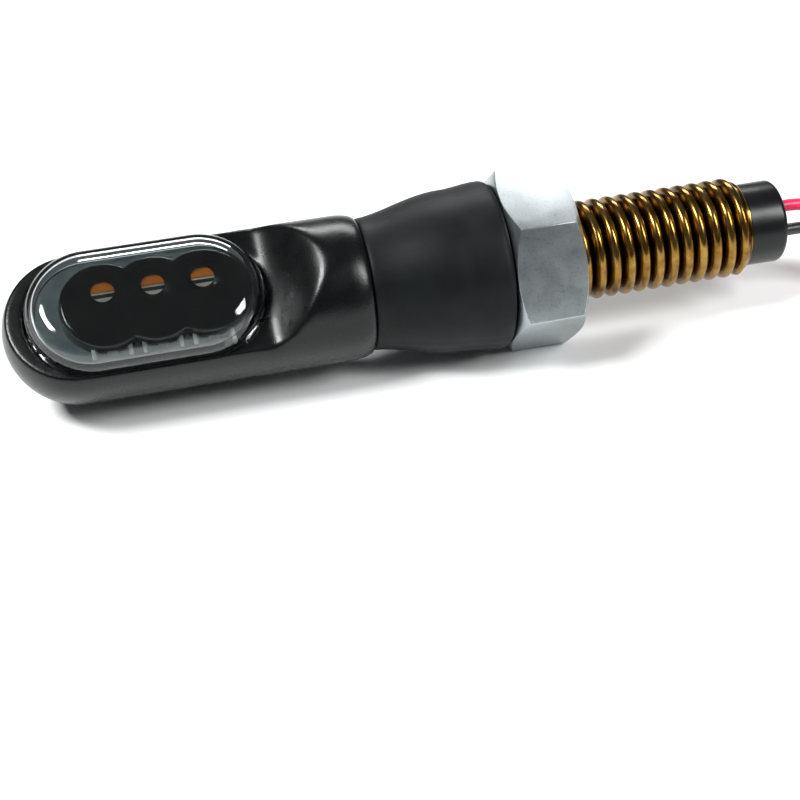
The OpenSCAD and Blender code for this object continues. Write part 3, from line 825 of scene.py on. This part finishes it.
def makeStud():
    # rolled right-hand thread, one pitch swept up the stud, then trimmed and chamfered
    d = studShape
    deep = d["radius"] - d["root"]
    shape = [(0, 1), (0.12, 0.97), (0.24, 0.84), (0.34, 0.58), (0.43, 0.2), (0.5, 0), (0.57, 0.2), (0.66, 0.58),
             (0.76, 0.84), (0.88, 0.97), (1, 1)]
    bm = bmesh.new()
    geom = profileEdges(bm, [((t - 2) * d["pitch"], 0, d["root"] + deep * f) for t, f in shape])
    turns = math.ceil(d["length"] / d["pitch"]) + 3
    bmesh.ops.spin(bm, geom=geom, cent=(0, 0, 0), axis=(1, 0, 0), angle=math.tau * turns, steps=d["steps"] * turns,
                   dvec=(d["pitch"] / d["steps"], 0, 0))
    bmesh.ops.remove_doubles(bm, verts=bm.verts, dist=0.002)
    for x, way in ((0, -1), (d["length"], 1)):
        bmesh.ops.bisect_plane(bm, geom=bm.verts[:] + bm.edges[:] + bm.faces[:], plane_co=(x, 0, 0),
                               plane_no=(way, 0, 0), clear_outer=True)
    for v in bm.verts:
        radius = math.hypot(v.co.y, v.co.z)
        limit = min(d["root"] + 0.02 + v.co.x * deep / d["startChamfer"],
                    d["endRadius"] + (d["length"] - v.co.x) * (d["radius"] - d["endRadius"]) / d["endChamfer"])
        if v.co.x > d["length"] - 0.5:  # the last turn runs out into a plain ring
            radius = max(radius, d["endRadius"])
            v.co.y, v.co.z = [c * radius / math.hypot(v.co.y, v.co.z) for c in (v.co.y, v.co.z)]
        if radius > limit:
            v.co.y *= limit / radius
            v.co.z *= limit / radius
    for x, inner in ((d["length"], d["bore"]), (0, d["root"] - 0.3)):
        rim = [e for e in bm.edges if e.is_boundary and abs(e.verts[0].co.x - x) < 0.001 and abs(e.verts[1].co.x - x) < 0.001]
        ring = bmesh.ops.create_circle(bm, radius=inner, segments=d["steps"],
                                       matrix=Matrix.Translation((x, 0, 0)) @ Matrix.Rotation(math.radians(90), 4, "Y"))
        inside = list({e for v in ring["verts"] for e in v.link_edges})
        bmesh.ops.bridge_loops(bm, edges=rim + inside)
        if x:
            pulled = bmesh.ops.extrude_edge_only(bm, edges=inside)["geom"]
            bmesh.ops.translate(bm, verts=[g for g in pulled if isinstance(g, bmesh.types.BMVert)], vec=(-x - 3.2, 0, 0))
    bmesh.ops.recalc_face_normals(bm, faces=bm.faces)
    # shank and six-sided flange inside the rubber
    turned(bm, [(-3.2, d["bore"]), (-3.2, d["root"]), (0, d["root"] - 0.02)], d["steps"])
    flange = bmesh.ops.create_circle(bm, radius=6.3, segments=6, cap_ends=True,
                                     matrix=Matrix.Translation((-3.2, 0, 0)) @ Matrix.Rotation(math.radians(90), 4, "Y"))
    faces = list({f for v in flange["verts"] for f in v.link_faces})
    pulled = bmesh.ops.extrude_face_region(bm, geom=faces)["geom"]
    bmesh.ops.translate(bm, verts=[g for g in pulled if isinstance(g, bmesh.types.BMVert)], vec=(2, 0, 0))
    bmesh.ops.recalc_face_normals(bm, faces=bm.faces)
    return newPiece("threadedStud", bm, brass, "mount", ["stud"], smooth=45)


nutShape = {
    "acrossFlats": 16, "thickness": 7.0, "seat": 0.1, "chamfer": 0.8, "bore": 5.04, "turn": 8.5,
}


def makeNut():
    d = nutShape
    low, high = d["seat"], d["seat"] + d["thickness"]
    corner = d["acrossFlats"] / 2 / math.cos(math.radians(30))
    bm = bmesh.new()
    made = bmesh.ops.create_circle(bm, radius=corner, segments=6, cap_ends=True,
                                   matrix=Matrix.Translation((low, 0, 0)) @ Matrix.Rotation(math.radians(90), 4, "Y"))
    faces = list({f for v in made["verts"] for f in v.link_faces})
    pulled = bmesh.ops.extrude_face_region(bm, geom=faces)["geom"]
    bmesh.ops.translate(bm, verts=[g for g in pulled if isinstance(g, bmesh.types.BMVert)], vec=(high - low, 0, 0))
    bmesh.ops.recalc_face_normals(bm, faces=bm.faces)
    bmesh.ops.rotate(bm, verts=bm.verts, matrix=Matrix.Rotation(math.radians(d["turn"]), 3, "X"))
    nut = newPiece("lockNut", bm, plated)
    flat = d["acrossFlats"] / 2 - 0.1
    bm = bmesh.new()
    turned(bm, [(low, 0), (low, flat), (low + d["chamfer"], corner - 0.02), (high - d["chamfer"], corner - 0.02),
                (high, flat), (high, 0)], 144)
    cut(nut, newPiece("nutChamfer", bm, plated), "INTERSECT")
    bm = bmesh.new()
    turned(bm, [(low - 1, 0), (low - 1, d["bore"] + 1.6), (low + 0.6, d["bore"]), (high - 0.6, d["bore"]),
                (high + 1, d["bore"] + 1.6), (high + 1, 0)], 96)
    cut(nut, newPiece("nutBore", bm, plated), "DIFFERENCE")
    applyModifier(nut, "BEVEL", width=0.00014, segments=3, limit_method="ANGLE", angle_limit=math.radians(18),
                  harden_normals=False)
    shade(nut, 30)
    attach(nut, "nut")
    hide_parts("lock_nut")
    return nut


bushingShape = {"radius": 4.15, "head": 4.0, "plug": 2.58, "plugLength": 4.0, "rounding": 0.6, "holeClearance": 0.05}


def makeBushing():
    d = bushingShape
    end = localX(bushingHigh.x)
    seat = end - d["head"]
    bm = bmesh.new()
    turned(bm, [(seat - d["plugLength"], 0), (seat - d["plugLength"], d["plug"] - 0.2), (seat - d["plugLength"] + 0.3, d["plug"]),
                (seat, d["plug"]), (seat, d["radius"] - 0.15), (seat + 0.15, d["radius"]), (seat + 1.4, d["radius"] - 0.02),
                (end - d["rounding"], d["radius"])]
           + arcPoints((end - d["rounding"], d["radius"] - d["rounding"]), d["rounding"], 80, 0, 7)
           + [(end - 0.06, d["radius"] - 1.2), (end - 0.02, 0)], 96)
    bushing = newPiece("leadBushing", bm, bushingPlastic)
    for side in (-1, 1):
        bm = bmesh.new()
        r = lead["diameter"] / 2 + d["holeClearance"]
        turned(bm, [(seat - 8, 0), (seat - 8, r), (end + 1, r), (end + 1, 0)], 32)
        bmesh.ops.translate(bm, verts=bm.verts, vec=(0, 0, side * lead["gap"] / 2))
        cut(bushing, newPiece("leadHole", bm, bushingPlastic), "DIFFERENCE")
    shade(bushing, 40)
    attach(bushing, "mount")
    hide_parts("bushing")
    return bushing


makeStud()
makeNut()
makeBushing()
print("stud, nut and bushing")


# finishes on the carried-over pieces

def finishNode(node, material):
    mesh = frame["nodes"][node].data
    mesh.materials.clear()
    mesh.materials.append(material)


for node, material in (("lens_gasket", sealRubber), ("circuit_board", boardMask), ("resistor_inner", darkChip),
                       ("resistor_middle", darkChip), ("resistor_outer", darkChip), ("diode", darkChip),
                       ("resin_plug", resin), ("ferrule", turnedAlloy)):
    finishNode(node, material)


def makeFloor():
    bm = bmesh.new()
    bmesh.ops.create_grid(bm, x_segments=8, y_segments=8, size=2.5)
    material, tree, shader = newMaterial("studioPaper", roughness=0.7)
    mottle(tree, shader, objectPlace(tree), 40, linear("f1f2f2"), linear("f5f6f6"))
    floor = newPiece("floor", bm, material, place=Matrix.Identity(4))


makeFloor()
print("finished")
